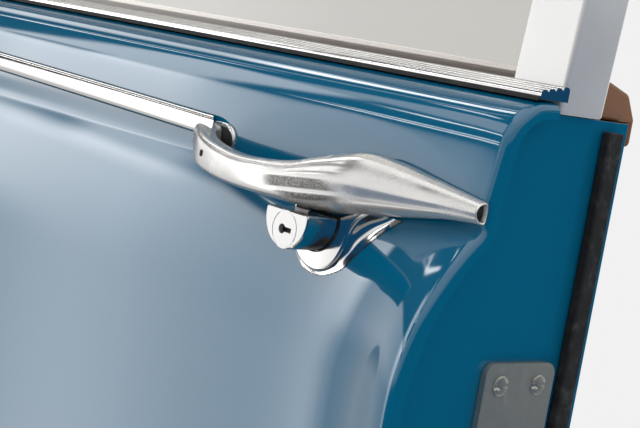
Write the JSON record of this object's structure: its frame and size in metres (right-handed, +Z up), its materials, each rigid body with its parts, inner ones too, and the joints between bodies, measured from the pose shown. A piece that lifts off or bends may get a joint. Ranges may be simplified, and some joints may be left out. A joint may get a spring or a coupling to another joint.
{
  "type": "front door of a 1950s classic car",
  "caption": "Left front door of a 1950s saloon with pull handle, push-button lock, side strip, framed window and quarter light, swinging on two pinned hinges.",
  "frame": {"origin": "middle of the four bolt holes in the lower hinge's pillar leaf, on the face that bolts to the pillar", "axes": "+X rearward along the car, +Y into the car, +Z up; the outer face looks towards -Y"},
  "size_m": [1.039, 0.1801, 1.0325],
  "materials": {
    "blue_paint": "deep blue gloss cellulose",
    "hinge_steel": "forged steel with a dull grey skin",
    "hinge_pin_steel": "ground steel",
    "frame_chrome": "satin bright frame",
    "trim_chrome": "bright plated",
    "handle_chrome": "plated, hazed and lightly pitted",
    "lock_steel": "satin turned face",
    "latch_steel": "zinc plated",
    "window_glass": "clear",
    "black_rubber": "matt black",
    "trim_leather": "tan hide",
    "capping_wood": "varnished",
    "knob_plastic": "marbled cream gloss"
  },
  "bodies": {
    "pillar_side": {"hinge_pillar_leaf_lower": "hinge_steel", "hinge_pillar_leaf_upper": "hinge_steel", "hinge_pin_lower": "hinge_pin_steel", "hinge_pin_upper": "hinge_pin_steel"},
    "door": {"hinge_door_leaf_lower": "hinge_steel", "hinge_door_leaf_upper": "hinge_steel", "outer_skin": "blue_paint", "inner_shell": "blue_paint", "window_frame": "frame_chrome", "window_run": "black_rubber", "window_glass": "window_glass", "division_bar": "frame_chrome", "quarter_light_frame": "frame_chrome", "quarter_light_glass": "window_glass", "quarter_sill": "black_rubber", "sill_finisher": "trim_chrome", "sill_seal_outer": "black_rubber", "side_strip": "trim_chrome", "handle_grip": "handle_chrome", "handle_pedestal": "handle_chrome", "handle_gasket": "black_rubber", "push_button": "handle_chrome", "button_seal": "black_rubber", "lock_plug": "lock_steel", "door_seal": "black_rubber", "trim_panel": "trim_leather", "sill_capping": "capping_wood", "armrest": "trim_leather", "window_winder": "trim_chrome", "winder_knob": "knob_plastic", "inside_handle": "trim_chrome", "door_latch": "latch_steel", "dovetail": "latch_steel"}
  },
  "joints": [
    {"name": "door_swing", "type": "hinge", "parent": "pillar_side", "child": "door", "pos_m": [0.014, -0.022, 0], "axis": [0, 0, -1], "range_deg": [0, 68]}
  ]
}
